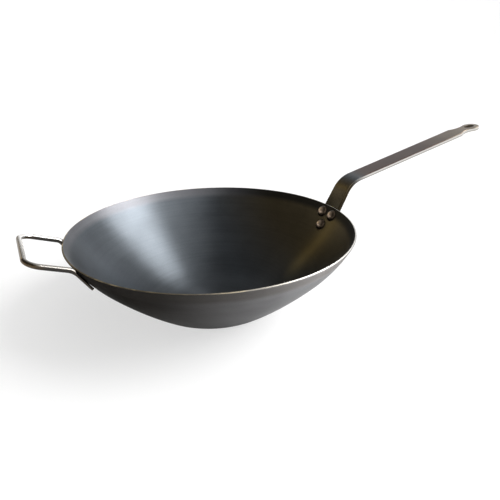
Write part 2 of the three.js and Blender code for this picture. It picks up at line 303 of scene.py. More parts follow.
@dataclass(frozen=True)
class Metal:
    """A steel finish, whose roughness and shallow relief follow one pattern.

    Attributes:
        name: Name of the material.
        roughness: Mean roughness.
        swing: Width of the range through which the pattern moves the roughness.
        relief: Depth of the pattern.
    """

    name: str
    roughness: float
    swing: float
    relief: float

    def dress(self, add: Adder) -> Dressing:
        """Adds the finish's own nodes.

        Args:
            add: Adds a node to the material.

        Returns:
            The pattern, and the shader's inputs.
        """
        raise NotImplementedError

    def uneven(self, add: Adder, pattern: Socket) -> Socket:
        """Roughness that moves with a pattern, by half of its swing to either side."""
        low, high = self.roughness - self.swing / 2.0, self.roughness + self.swing / 2.0
        return add("ShaderNodeMapRange", pattern, *NOISE_RANGE, low, high)[0]

    def material(self) -> bpy.types.Material:
        """Builds the material: all metal, with the finish's own inputs and the pattern as its relief.

        Returns:
            The material.
        """
        material, add = start_material(self.name)
        pattern, inputs = self.dress(add)
        bump = add("ShaderNodeBump", at={"Height": pattern, "Strength": 1.0, "Distance": self.relief})[0]
        shader = add("ShaderNodeBsdfPrincipled", at={"Metallic": 1.0, "Normal": bump, **inputs})[0]
        add("ShaderNodeOutputMaterial", shader)
        return material


@dataclass(frozen=True)
class BluedSheet(Metal):
    """Spun carbon steel sheet, blued by heat.

    Spinning leaves fine rings round the axis, which draw highlights out into streaks from the middle to the
    rim. The oxide is blue-grey, and olive-brown where the sheet got hotter, towards the long handle, with
    painted shade on the base within. A band below the rim was dressed after spinning and is a plain grey.
    Outside the oxide is darker, most of all towards the helper handle's side, as painted shade, and lighter
    towards the long handle's as painted light; painted shade also darkens it near the floor. Outside, and
    on the hot side within, it stays dull at grazing angles too. The cut rim is browned with random golden
    spots, wear that also stands for painted glints, and on the side of negative Y towards the long handle it
    is bare steel as a painted highlight.
    """

    name: str = "blued_spun_carbon_steel"
    roughness: float = 0.42
    swing: float = 0.06
    relief: float = 0.000012
    anisotropy: float = 0.80
    quarter_turn: float = 0.25
    ring_pitch: float = 0.0022
    ring_shade: Span = (0.93, 1.07)
    cloud_size: float = 0.05
    cloud_shade: Span = (0.88, 1.1)
    fleck_size: float = 0.0012
    fleck_shade: Span = (0.93, 1.07)
    wear_size: float = 0.02
    wear_glint_range: Span = (0.48, 0.66)
    heat_reach: Span = (0.05, 0.14)
    # Painted light and shade outside: darker towards the helper handle, lighter towards the long handle.
    painted_light_reach: Span = (-0.13, 0.13)
    blue: str = "#60656a"
    olive: str = "#584f3c"
    outer_painted_shade: str = "#343230"
    outer_painted_light: str = "#acacae"
    band_cool: str = "#8a8a8e"
    band_hot: str = "#2a2928"
    band_outside_painted_light: str = "#94908d"
    band_radii: Span = (0.165, 0.170)
    band_share: float = 0.8
    band_roughness: float = 0.18
    # Painted shade on the base within.
    painted_base_shade_radii: Span = (0.065, 0.135)
    painted_base_shade_level: float = 0.72
    # Painted shade outside, near the floor.
    painted_foot_shade_heights: Span = (0.005, 0.05)
    painted_foot_shade_level: float = 0.7
    # The rim's bare steel, near white, is a painted highlight where it shows.
    bare: str = "#f2f0ec"
    # Golden spots on the rim: wear, and painted glints.
    gold: str = "#dfcea8"
    dull: str = "#8e8370"
    painted_highlight_side: Span = (0.06, -0.02)
    grazing_inside: str = "#ffffff"
    grazing_hot: str = "#b9bbbf"
    grazing_outside: str = "#a2a2a2"

    def dress(self, add: Adder) -> Dressing:
        """Adds the oxide's tones with their painted light and shade, the dressed band, the rim with its
        painted highlight and glints, and the rings.

        The rings are drawn coarser than real ones, of about 0.4 mm, so that they show.

        Args:
            add: Adds a node to the material.

        Returns:
            The rings, and the shader's inputs.
        """
        place = add("ShaderNodeTexCoord")["Object"]
        reach, across, height = add("ShaderNodeSeparateXYZ", place)
        flat = add("ShaderNodeVectorMath", place, (1.0, 1.0, 0.0), operation="MULTIPLY")[0]
        radius = add("ShaderNodeVectorMath", flat, operation="LENGTH")["Value"]
        bearing = add("ShaderNodeVectorMath", flat, operation="NORMALIZE")[0]
        inside = add("ShaderNodeAttribute", attribute_name=Channel.INSIDE.value)["Fac"]
        edge = add("ShaderNodeAttribute", attribute_name=Channel.EDGE.value)["Fac"]
        ring_count = add("ShaderNodeMath", radius, 1.0 / self.ring_pitch, operation="MULTIPLY")[0]
        ring_place = add("ShaderNodeCombineXYZ", ring_count, *add("ShaderNodeSeparateXYZ", bearing)[:2])[0]
        rings, clouds, flecks, wear = [
            add("ShaderNodeTexNoise", at={"Vector": where, "Scale": 1.0 / size, "Detail": detail})["Fac"]
            for where, size, detail in (
                (ring_place, 1.0, SOFT_DETAIL),
                (place, self.cloud_size, RICH_DETAIL),
                (place, self.fleck_size, SOFT_DETAIL),
                (place, self.wear_size, MID_DETAIL),
            )
        ]
        heat, painted_light_share, band, painted_base_shade, painted_foot_shade = [
            add("ShaderNodeMapRange", value, *span, *shares, interpolation_type=SMOOTH)[0]
            for value, span, shares in (
                # painted light and shade outside, along X
                (reach, self.heat_reach, (0.0, 1.0)),
                (reach, self.painted_light_reach, (0.0, 1.0)),
                (radius, self.band_radii, (0.0, self.band_share)),
                # painted shade on the base within
                (radius, self.painted_base_shade_radii, (self.painted_base_shade_level, 1.0)),
                # painted shade outside, near the floor
                (height, self.painted_foot_shade_heights, (self.painted_foot_shade_level, 1.0)),
            )
        ]
        # Random golden spots on the rim, wear that also stands for painted glints.
        wear_and_highlight = add("ShaderNodeMapRange", wear, *self.wear_glint_range)[0]
        # Painted highlight: the rim is bare steel on the side of negative Y towards the long handle.
        highlight_spans = (*self.painted_highlight_side, 0.0, painted_light_share)
        painted_rim_highlight = add("ShaderNodeMapRange", across, *highlight_spans, interpolation_type=SMOOTH)[0]
        inner, band_in, grazing_in, outer, band_out, browned = [
            add("ShaderNodeMix", at={0: share, 6: linear(low), 7: linear(high)}, data_type="RGBA")[2]
            for share, low, high in (
                (heat, self.blue, self.olive),
                (heat, self.band_cool, self.band_hot),
                (heat, self.grazing_inside, self.grazing_hot),
                (painted_light_share, self.outer_painted_shade, self.outer_painted_light),
                (painted_light_share, self.outer_painted_shade, self.band_outside_painted_light),
                (wear_and_highlight, self.dull, self.gold),
            )
        ]
        grazing_out = linear(self.grazing_outside)
        face, band_tone, grazing = [
            add("ShaderNodeMix", at={0: inside, 6: out, 7: within}, data_type="RGBA")[2]
            for out, within in ((outer, inner), (band_out, band_in), (grazing_out, grazing_in))
        ]
        shades = ((clouds, self.cloud_shade), (rings, self.ring_shade), (flecks, self.fleck_shade))
        # Painted shade on the base within and outside near the floor, then the random patterns.
        shade = add("ShaderNodeMix", at={0: inside, 2: painted_foot_shade, 3: painted_base_shade})[0]
        for pattern, span in shades:
            tone = add("ShaderNodeMapRange", pattern, *NOISE_RANGE, *span)[0]
            shade = add("ShaderNodeMath", shade, tone, operation="MULTIPLY")[0]
        banded = add("ShaderNodeMix", at={0: band, 6: face, 7: band_tone}, data_type="RGBA")[2]
        oxide = add("ShaderNodeVectorMath", banded, at={"Scale": shade}, operation="SCALE")[0]
        cut = add("ShaderNodeMix", at={0: painted_rim_highlight, 6: browned, 7: linear(self.bare)}, data_type="RGBA")[2]
        rough = self.uneven(add, rings)
        return rings, {
            "Base Color": add("ShaderNodeMix", at={0: edge, 6: oxide, 7: cut}, data_type="RGBA")[2],
            "Specular Tint": grazing,
            "Roughness": add("ShaderNodeMath", band, self.band_roughness, rough, operation="MULTIPLY_ADD")[0],
            "Anisotropic": self.anisotropy,
            "Anisotropic Rotation": self.quarter_turn,
            "Tangent": add("ShaderNodeTangent", direction_type="UV_MAP", uv_map=Channel.GRAIN.value)[0],
        }


@dataclass(frozen=True)
class StripSteel(Metal):
    """Rolled strip steel, bent and blued at the foot with the bowl.

    The faces are satin with faint lines along the strip: dark olive at the foot, olive-brown up to the
    bend, mauve-grey along the grip and warmer towards the eye. The sheared edges keep dark scale up to
    the bend, and past it turn to bare steel, lightened near white as a painted highlight. The slot's wall
    takes a share of the dark scale as painted shade.
    """

    name: str = "blued_rolled_strip_steel"
    roughness: float = 0.34
    swing: float = 0.10
    relief: float = 0.00001
    foot: str = "#332d1e"
    riser: str = "#645843"
    bend: str = "#505356"
    grip: str = "#504440"
    tip: str = "#7c7265"
    scale: str = "#2c261c"
    bare: str = "#d4d2ce"
    riser_reach: Span = (0.176, 0.194)
    bend_reach: Span = (0.190, 0.204)
    grip_reach: Span = (0.206, 0.224)
    tip_reach: Span = (0.31, 0.41)
    # Painted highlight on the sheared edges past the bend.
    bare_highlight_reach: Span = (0.195, 0.225)
    line_pitch: float = 0.0022
    line_stretch: float = 0.06
    line_shade: Span = (0.78, 1.2)
    cloud_size: float = 0.02
    cloud_shade: Span = (0.9, 1.1)

    def dress(self, add: Adder) -> Dressing:
        """Adds the lines, which lie along X, and the tones, which change with the distance from the bowl.

        The lines are drawn coarser than real ones, of about 0.2 mm, so that they show.

        Args:
            add: Adds a node to the material.

        Returns:
            The lines, and the shader's inputs.
        """
        place = add("ShaderNodeTexCoord")["Object"]
        reach = add("ShaderNodeSeparateXYZ", place)[0]
        inside = add("ShaderNodeAttribute", attribute_name=Channel.INSIDE.value)["Fac"]
        edge = add("ShaderNodeAttribute", attribute_name=Channel.EDGE.value)["Fac"]
        stretch = (1.0 / self.line_stretch, 1.0 / self.line_pitch, 1.0 / self.line_pitch)
        line_place = add("ShaderNodeVectorMath", place, stretch, operation="MULTIPLY")[0]
        lines, clouds = [
            add("ShaderNodeTexNoise", at={"Vector": where, "Scale": 1.0 / size, "Detail": MID_DETAIL})["Fac"]
            for where, size in ((line_place, 1.0), (place, self.cloud_size))
        ]
        face = linear(self.foot)
        for tone, span in (
            (self.riser, self.riser_reach),
            (self.bend, self.bend_reach),
            (self.grip, self.grip_reach),
            (self.tip, self.tip_reach),
        ):
            share = add("ShaderNodeMapRange", reach, *span, interpolation_type=SMOOTH)[0]
            face = add("ShaderNodeMix", at={0: share, 6: face, 7: linear(tone)}, data_type="RGBA")[2]
        line_shade = add("ShaderNodeMapRange", lines, *NOISE_RANGE, *self.line_shade)[0]
        cloud_shade = add("ShaderNodeMapRange", clouds, *NOISE_RANGE, *self.cloud_shade)[0]
        shade = add("ShaderNodeMath", line_shade, cloud_shade, operation="MULTIPLY")[0]
        satin = add("ShaderNodeVectorMath", face, at={"Scale": shade}, operation="SCALE")[0]
        # Painted highlight: past the bend the sheared edges turn from dark scale to bare steel near white.
        rubbed_highlight = add("ShaderNodeMapRange", reach, *self.bare_highlight_reach, interpolation_type=SMOOTH)[0]
        scale = linear(self.scale)
        side = add("ShaderNodeMix", at={0: rubbed_highlight, 6: scale, 7: linear(self.bare)}, data_type="RGBA")[2]
        skin = add("ShaderNodeMix", at={0: edge, 6: satin, 7: side}, data_type="RGBA")[2]
        # Painted shade in the slot: its wall takes a share of the dark scale.
        colour = add("ShaderNodeMix", at={0: inside, 6: skin, 7: scale}, data_type="RGBA")[2]
        return lines, {"Base Color": colour, "Roughness": self.uneven(add, lines)}


@dataclass(frozen=True)
class HeadedSteel(Metal):
    """Steel wire headed in a die: smooth domes, softly mottled, browned by heat, with a painted highlight."""

    name: str = "headed_steel_wire"
    roughness: float = 0.36
    swing: float = 0.08
    relief: float = 0.00003
    skin: str = "#5c5043"
    brown: str = "#463c31"
    # Painted highlight towards the head's middle.
    crown: str = "#c6ae97"
    crown_range: Span = (0.45, 0.95)
    mottle_size: float = 0.003
    mottle_range: Span = (0.35, 0.65)

    def dress(self, add: Adder) -> Dressing:
        """Adds a mottle, which gives the tones, the roughness and a slight waviness, and a painted highlight.

        Args:
            add: Adds a node to the material.

        Returns:
            The mottle, and the shader's inputs.
        """
        place = add("ShaderNodeTexCoord")["Object"]
        scale = 1.0 / self.mottle_size
        mottle = add("ShaderNodeTexNoise", at={"Vector": place, "Scale": scale, "Detail": MID_DETAIL})["Fac"]
        share = add("ShaderNodeMapRange", mottle, *self.mottle_range)[0]
        tones = {0: share, 6: linear(self.skin), 7: linear(self.brown)}
        browned = add("ShaderNodeMix", at=tones, data_type="RGBA")[2]
        edge = add("ShaderNodeAttribute", attribute_name=Channel.EDGE.value)["Fac"]
        # Painted highlight: the head lightens towards its middle.
        rubbed_highlight = add("ShaderNodeMapRange", edge, *self.crown_range, interpolation_type=SMOOTH)[0]
        colour = add("ShaderNodeMix", at={0: rubbed_highlight, 6: browned, 7: linear(self.crown)}, data_type="RGBA")[2]
        return mottle, {"Base Color": colour, "Roughness": self.uneven(add, mottle)}


@dataclass(frozen=True)
class DrawnRod(Metal):
    """Drawn steel rod with dark skin, lightened on top as a painted highlight.

    The skin turns brown in patches along the crossbar, and dark on the legs near the wall.
    The pressed ends are bare.
    """

    name: str = "drawn_steel_rod"
    roughness: float = 0.26
    swing: float = 0.06
    relief: float = 0.00003
    # Painted highlight tones, near white on top and duller on the front arm.
    rubbed_highlight: str = "#fbf9f6"
    dim_front_highlight: str = "#a5a19b"
    skin: str = "#3c3a37"
    brown: str = "#5f4f3a"
    near_wall_dark: str = "#3d3833"
    bare: str = "#a39b8f"
    # Painted highlight on skin that faces this way.
    highlight_way: Way = (0.8, 0.0, 0.6)
    highlight_range: Span = (0.33, 0.62)
    dim_front_side: Span = (0.042, -0.02)
    brown_reach: Span = (-0.196, -0.210)
    near_wall_reach: Span = (-0.176, -0.168)
    mottle_size: float = 0.010
    patch_range: Span = (0.3, 0.6)
    patch_share: Span = (0.4, 1.0)

    def dress(self, add: Adder) -> Dressing:
        """Adds the tones. A painted highlight lightens the skin that faces up and towards the bowl, and it
        is duller on the front arm, as painted shade.

        Args:
            add: Adds a node to the material.

        Returns:
            A mottle, and the shader's inputs.
        """
        source = add("ShaderNodeTexCoord")
        place = source["Object"]
        reach, across, _ = add("ShaderNodeSeparateXYZ", place)
        edge = add("ShaderNodeAttribute", attribute_name=Channel.EDGE.value)["Fac"]
        scale = 1.0 / self.mottle_size
        mottle = add("ShaderNodeTexNoise", at={"Vector": place, "Scale": scale, "Detail": RICH_DETAIL})["Fac"]
        patch = add("ShaderNodeMapRange", mottle, *self.patch_range, *self.patch_share)[0]
        browned = add("ShaderNodeMapRange", reach, *self.brown_reach, 0.0, patch)[0]
        # Painted highlight: skin facing up and towards the bowl is lightened, the rest keeps its dark skin.
        facing = add("ShaderNodeVectorMath", source["Normal"], self.highlight_way, operation="DOT_PRODUCT")["Value"]
        wear_and_highlight = add("ShaderNodeMapRange", facing, *self.highlight_range, interpolation_type=SMOOTH)[0]
        # Painted shade: the highlight is duller on the front arm.
        front_dimming = add("ShaderNodeMapRange", across, *self.dim_front_side)[0]
        near_wall = add("ShaderNodeMapRange", reach, *self.near_wall_reach)[0]
        dark, bright = [
            add("ShaderNodeMix", at={0: share, 6: linear(low), 7: linear(high)}, data_type="RGBA")[2]
            for share, low, high in ((browned, self.skin, self.brown), (front_dimming, self.rubbed_highlight, self.dim_front_highlight))
        ]
        colour = dark
        for share, tone in ((wear_and_highlight, bright), (near_wall, linear(self.near_wall_dark)), (edge, linear(self.bare))):
            colour = add("ShaderNodeMix", at={0: share, 6: colour, 7: tone}, data_type="RGBA")[2]
        return mottle, {"Base Color": colour, "Roughness": self.uneven(add, mottle)}


@dataclass(frozen=True)
class MattPaper:
    """White studio paper: matt, faintly toothed, glowing for camera and reflections so shadows stay light."""

    name: str = "matt_white_paper"
    white: str = "#fbfbfb"
    roughness: float = 0.9
    tooth_size: float = 0.002
    tooth_depth: float = 0.00005
    glow: float = 0.6

    def material(self) -> bpy.types.Material:
        """Builds the material. Only the camera and clear reflections see the glow, so it lights nothing.

        The tooth is drawn coarser than a real one, of about 0.2 mm, so that it shows.

        Returns:
            The material.
        """
        material, add = start_material(self.name)
        place = add("ShaderNodeTexCoord")["Object"]
        tooth = add("ShaderNodeTexNoise", at={"Vector": place, "Scale": 1.0 / self.tooth_size})["Fac"]
        bump = add("ShaderNodeBump", at={"Height": tooth, "Strength": 1.0, "Distance": self.tooth_depth})[0]
        inputs = {
            "Base Color": linear(self.white),
            "Roughness": self.roughness,
            "Specular IOR Level": 0.0,
            "Normal": bump,
        }
        shader = add("ShaderNodeBsdfPrincipled", at=inputs)[0]
        ray = add("ShaderNodeLightPath")
        seen = ray["Is Camera Ray"]
        for kind in ("Is Glossy Ray", "Is Transmission Ray"):
            seen = add("ShaderNodeMath", seen, ray[kind], operation="MAXIMUM")[0]
        share = add("ShaderNodeMath", seen, self.glow, operation="MULTIPLY")[0]
        paper = add("ShaderNodeMixShader", share, shader, add("ShaderNodeEmission")[0])[0]
        add("ShaderNodeOutputMaterial", paper)
        return material


@dataclass(frozen=True)
class Arc:
    """An arc of the bowl's section, about a centre inside the bowl, between two slopes of the outer face."""

    centre: Array
    radius: float
    start: float
    end: float


@dataclass
class Bowl:
    """The spun bowl: a flat base, a corner, a wall and a lip, and a rim cut square to the wall."""

    rim_radius: float = 0.175
    base_radius: float = 0.045
    sheet: float = 0.002
    corner_radius: float = 0.071
    corner_turn: float = radians(35.8)
    wall_turn: float = radians(8.7)
    lip_radius: float = 0.162
    lip_turn: float = radians(17.8)
    outer_edge_radius: float = 0.0009
    inner_edge_radius: float = 0.0004
    corner_places: int = 7
    bare_margin: int = 3
    spacing: float = 0.002
    segments: int = 256
    finish: BluedSheet = field(default_factory=BluedSheet)
    arcs: list[Arc] = field(init=False)

    def __post_init__(self) -> None:
        """Works out the section's arcs: each starts at the slope and the place where the last one ends."""
        slopes = np.cumsum([0.0, self.corner_turn, self.wall_turn, self.lip_turn])
        rises = np.sin(slopes)
        corner_run = self.corner_radius * rises[1]
        lip_run = self.lip_radius * (rises[3] - rises[2])
        wall_run = self.rim_radius - self.base_radius - corner_run - lip_run
        wall_radius = wall_run / (rises[2] - rises[1])
        place = np.array([self.base_radius, 0.0])
        self.arcs = []
        for radius, start, end in zip((self.corner_radius, wall_radius, self.lip_radius), slopes, slopes[1:]):
            centre = place - radius * outward(start)
            place = centre + radius * outward(end)
            self.arcs.append(Arc(centre, radius, start, end))

    @property
    def rim_slope(self) -> float:
        """Slope of the wall at the rim."""
        return self.arcs[-1].end

    @property
    def rim_point(self) -> Array:
        """Radius and height of the rim's outer corner."""
        lip = self.arcs[-1]
        return lip.centre + lip.radius * outward(lip.end)

    def wall_at(self, below: Array | float, out: Array | float) -> tuple[Array, Array]:
        """Places on the lip at distances below the rim along the outer face, moved out of the bowl.

        The slope falls from the rim's by the distance over the lip's radius. The place is the lip's centre
        plus its radius and the move along the outward direction of that slope.

        Args:
            below: Distance below the rim.
            out: Distance out of the bowl.

        Returns:
            Radius and height, and the slope, at each place.
        """
        lip = self.arcs[-1]
        slope = lip.end - np.asarray(below) / lip.radius
        reach = (lip.radius + np.asarray(out))[..., None]
        return lip.centre + reach * outward(slope), slope

    def face(self, out: float, trim: float) -> Array:
        """One face of the section, from the axis to a short way below the rim.

        It is the straight base, then each arc about its own centre with the move added to its radius.

        Args:
            out: Distance that the face is moved out of the bowl.
            trim: Distance below the rim at which it ends.

        Returns:
            Radius and height at each place.
        """
        base = line_points(np.array([0.0, -out]), np.array([self.base_radius, -out]), self.spacing)
        stretches = [base]
        for arc in self.arcs:
            radius = arc.radius + out
            start, end = arc.start - pi / 2.0, arc.end - pi / 2.0
            if arc is self.arcs[-1]:
                end -= trim / radius
            stretches.append(arc_points(arc.centre, radius, start, end, self.spacing))
        return chain(*stretches)

    def rim(self) -> Array:
        """The cut rim: a quarter round at each corner, from the outer face over to the inner one.

        Returns:
            Radius and height at each place.
        """
        out, up = outward(self.rim_slope), along(self.rim_slope)
        turn = np.linspace(0.0, pi / 2.0, self.corner_places)[:, None]
        outer = self.rim_point - self.outer_edge_radius * (out + up)
        inner = self.rim_point - self.sheet * out + self.inner_edge_radius * (out - up)
        return np.concatenate([
            outer + self.outer_edge_radius * (out * np.cos(turn) + up * np.sin(turn)),
            inner + self.inner_edge_radius * (up * np.cos(turn) - out * np.sin(turn)),
        ])

    def build(self) -> bpy.types.Object:
        """Turns the section about Z and dresses the bowl.

        Returns:
            The bowl.
        """
        outer = self.face(0.0, self.outer_edge_radius)
        rim = self.rim()
        inner = self.face(-self.sheet, self.inner_edge_radius)[::-1]
        profile = chain(outer, rim, inner)
        step = np.arange(len(profile)) - len(outer)
        bare = (step >= self.corner_places - self.bare_margin) & (step < len(rim) - self.bare_margin)
        inside = (step >= self.corner_places).astype(float)
        skin = revolved(profile, bare.astype(float), inside, self.segments)
        return build_piece("spun_bowl", [skin], "bowl", self.finish.material())


@dataclass
class Rivets:
    """Three rivets set square to the wall: a row of two below the rim and one below them."""

    bowl: Bowl
    shank: float = 0.005
    spacing: float = 0.022
    row_below_rim: float = 0.011
    row_pitch: float = 0.0174
    head_diameter: float = 0.0156
    head_land: float = 0.0005
    head_dome: float = 0.0044
    tail_diameter: float = 0.0095
    tail_land: float = 0.0005
    tail_dome: float = 0.0014
    edge_radius: float = 0.0003
    dome_places: int = 14
    segments: int = 64
    finish: HeadedSteel = field(default_factory=HeadedSteel)

    def dome(self, diameter: float, rise: float, land: float) -> Array:
        """Profile of a domed end on a flat seat, from its crown on the axis to its seat.

        The dome is an arc through the crown and the top of the land, with the radius that the rise gives.
        The land's foot is a quarter round.

        Args:
            diameter: Width of the dome.
            rise: Height of the dome above its land.
            land: Height of the straight side.

        Returns:
            Radius, and height above the seat, at each place.
        """
        half = diameter / 2.0
        radius = (half**2 + rise**2) / (2.0 * rise)
        angle = np.linspace(0.0, asin(half / radius), self.dome_places)
        cap = np.stack([radius * np.sin(angle), land + rise - radius * (1.0 - np.cos(angle))], axis=-1)
        centre = np.array([half - self.edge_radius, self.edge_radius])
        return chain(cap, arc_points(centre, self.edge_radius, 0.0, -pi / 2.0, self.edge_radius))

    def profile(self, foot_back: float) -> Array:
        """Head, shank and tail, from the head's crown to the tail's.

        Args:
            foot_back: Distance from the wall's outer face to the back of the handle's foot.

        Returns:
            Radius, and height above the wall's outer face, at each place.
        """
        head = self.dome(self.head_diameter, self.head_dome, self.head_land) * (1.0, -1.0)
        shank = np.array([[self.shank / 2.0, -self.bowl.sheet], [self.shank / 2.0, foot_back]])
        tail = self.dome(self.tail_diameter, self.tail_dome, self.tail_land)[::-1]
        return np.concatenate([head - (0.0, self.bowl.sheet), shank, tail + (0.0, foot_back)])

    def place(self, patch: Patch, below: float, across: float) -> Patch:
        """Carries a rivet made about Z to its place: Z goes to the wall's outward direction there.

        Args:
            patch: The rivet about Z.
            below: Distance of its place below the rim.
            across: Distance of its place from the handle's middle line, round the wall.

        Returns:
            The rivet in its place.
        """
        (reach, height), slope = self.bowl.wall_at(below, 0.0)
        out_x, out_z = outward(slope)
        x, y, z = np.moveaxis(patch.points, -1, 0)
        far = reach + x * out_z + z * out_x
        up = height - x * out_x + z * out_z
        turn = across / reach
        points = np.stack([far * cos(turn) - y * sin(turn), far * sin(turn) + y * cos(turn), up], axis=-1)
        return Patch(points, patch.grain, patch.edge, patch.inside)

    def build(self, foot_back: float) -> list[bpy.types.Object]:
        """Turns one rivet and sets a copy of it at each place.

        Args:
            foot_back: Distance from the wall's outer face to the back of the handle's foot.

        Returns:
            The three rivets.
        """
        profile = self.profile(foot_back)
        # Painted highlight: one at the head's middle, falling to nothing at its rim, carried as the edge
        # value.
        rubbed_highlight = 1.0 - (2.0 * profile[:, 0] / self.head_diameter) ** 2
        turned = revolved(profile, rubbed_highlight, np.zeros(len(profile)), self.segments)
        material = self.finish.material()
        places = {
            "rivet_upper_left": (self.row_below_rim, self.spacing / 2.0),
            "rivet_upper_right": (self.row_below_rim, -self.spacing / 2.0),
            "rivet_lower": (self.row_below_rim + self.row_pitch, 0.0),
        }
        pieces = []
        for node, (below, across) in places.items():
            skin = self.place(turned, below, across)
            pieces.append(build_piece(f"headed_{node}", [skin], node, material))
        return pieces


@dataclass
class Run:
    """A stretch of the strip above the rim, straight or dipping evenly by a turn."""

    start: float
    length: float
    turn: float
    place: Array
    slope: float


@dataclass
class LongHandle:
    """The strip handle: a flat blank with rounded edges, bent along its stations.

    Stations run along the seat face from the nose of the foot to the tip of the eye.
    """

    bowl: Bowl
    rivets: Rivets
    thickness: float = 0.0048
    foot_width: float = 0.0324
    nose_radius: float = 0.010
    rise: float = 0.0242
    bend_radius: float = 0.031
    grip_slope: float = radians(13.55)
    grip_width: float = 0.0266
    grip_length: float = 0.1713
    tail_length: float = 0.0476
    tail_dip: float = radians(6.6)
    shoulder_radius: float = 0.005
    neck_width: float = 0.018
    neck_to_eye: float = 0.0145
    eye_radius: float = 0.012
    eye_wall: float = 0.0068
    slot_travel: float = 0.004
    seat_gap: float = 0.0003
    roll_radius: float = 0.0010
    edge_radius: float = 0.0005
    edge_blend: float = 0.0002
    burnished: float = 0.6
    torn: float = 0.5
    # Share of dark scale on the slot's wall, as painted shade.
    slot_painted_shade: float = 0.6
    round_places: int = 6
    face_places: int = 9
    face_share: float = 0.95
    spacing: float = 0.0012
    finish: StripSteel = field(default_factory=StripSteel)
    rim_at: float = field(init=False)
    bend_at: float = field(init=False)
    grip_at: float = field(init=False)
    neck_at: float = field(init=False)
    eye_at: float = field(init=False)
    runs: list[Run] = field(init=False)

    def __post_init__(self) -> None:
        """Works out the stations, and the runs above the rim, each starting where the last one ends."""
        self.rim_at = self.nose_radius + self.rivets.row_pitch + self.rivets.row_below_rim
        self.bend_at = self.rim_at + self.rise
        bend_turn = self.bowl.rim_slope - self.grip_slope
        self.grip_at = self.bend_at + (self.bend_radius + self.thickness) * bend_turn
        tail_at = self.grip_at + self.grip_length
        self.eye_at = tail_at + self.tail_length - self.eye_radius
        self.neck_at = self.eye_at - self.neck_to_eye
        stations = [self.rim_at, self.bend_at, self.grip_at, tail_at, tail_at + self.tail_length]
        place, slope = self.bowl.wall_at(0.0, self.seat_gap)
        self.runs = []
        for start, end, turn in zip(stations, stations[1:], (0.0, bend_turn, 0.0, self.tail_dip)):
            run = Run(start, end - start, turn, place, slope)
            self.runs.append(run)
            place, slope = self.run_at(run, np.array(end))

    @staticmethod
    def run_at(run: Run, station: Array) -> tuple[Array, Array]:
        """Places on a run, each at the end of the chord of the arc up to it.

        The chord leaves at half the arc's turn. It is as long as the arc, times that half turn's sine over
        the half turn.

        Args:
            run: The run.
            station: Stations, which may lie before or after the run's own.

        Returns:
            Place in the section plane and slope at each station.
        """
        distance = np.asarray(station) - run.start
        turned = run.turn * distance / run.length
        chord = distance * np.sinc(turned / (2.0 * pi))
        return run.place + chord[..., None] * along(run.slope - turned / 2.0), run.slope - turned

    def form(self, blank: Array, depth: Array) -> Array:
        """Bends points of the flat blank into the formed strip.

        Below the rim a station is a place on the wall, moved out by the seat gap and the depth. Above the
        rim it is a place on the run that holds it, moved by the depth square to the slope. The foot is also
        pressed to the wall's round: the width becomes an arc about the axis, which flattens out before the
        bend.

        Args:
            blank: Station and distance from the middle line.
            depth: Depth below the seat face.

        Returns:
            Places in the wok's frame.
        """
        station, width = blank[..., 0], blank[..., 1]
        seat, slope = self.bowl.wall_at(self.rim_at - station, self.seat_gap)
        for run in self.runs:
            place, turned = self.run_at(run, station)
            above = station > run.start
            seat = np.where(above[..., None], place, seat)
            slope = np.where(above, turned, slope)
        bent = seat + depth[..., None] * outward(slope)
        pressed = 1.0 - smoothstep(station, self.rim_at, self.bend_at)
        curl = pressed * width / seat[..., 0]
        chord = np.sinc(curl / pi)
        bow = width * np.tan(curl / 2.0) * chord
        return np.stack([bent[..., 0] - bow, width * chord, bent[..., 1]], axis=-1)

    def outline(self) -> Array:
        """Half outline of the blank, from the nose to the tip.

        The nose goes round the lower rivet and runs in straight lines to the foot's full width and on to
        the grip's. Shoulder, neck and eye are circles that touch each other.

        Returns:
            Station and half width at each place.
        """
        nose = np.array([self.nose_radius, 0.0])
        corner = np.array([self.rivets.row_pitch, self.foot_width / 2.0])
        tangent = atan2(corner[1], corner[0]) + acos(self.nose_radius / hypot(*corner))
        half_neck, half_grip = self.neck_width / 2.0, self.grip_width / 2.0
        excess = self.neck_to_eye**2 + half_neck**2 - self.eye_radius**2
        neck_radius = excess / (2.0 * (self.eye_radius - half_neck))
        neck = np.array([self.neck_at, half_neck + neck_radius])
        drop = neck[1] - half_grip + self.shoulder_radius
        shoulder_run = sqrt((neck_radius + self.shoulder_radius) ** 2 - drop**2)
        shoulder = np.array([self.neck_at - shoulder_run, half_grip - self.shoulder_radius])
        eye = np.array([self.eye_at, 0.0])
        to_neck = atan2(*(neck - shoulder)[::-1])
        to_eye = atan2(*(neck - eye)[::-1])
        round_nose = arc_points(nose, self.nose_radius, pi, tangent, self.spacing)
        grip_start = np.array([self.grip_at, half_grip])
        return chain(
            round_nose,
            line_points(round_nose[-1], nose + corner, self.spacing),
            line_points(nose + corner, grip_start, self.spacing),
            line_points(grip_start, shoulder + (0.0, self.shoulder_radius), self.spacing),
            arc_points(shoulder, self.shoulder_radius, pi / 2.0, to_neck, self.spacing),
            arc_points(neck, neck_radius, to_neck + pi, to_eye + pi, self.spacing),
            arc_points(eye, self.eye_radius, to_eye, 0.0, self.spacing),
        )

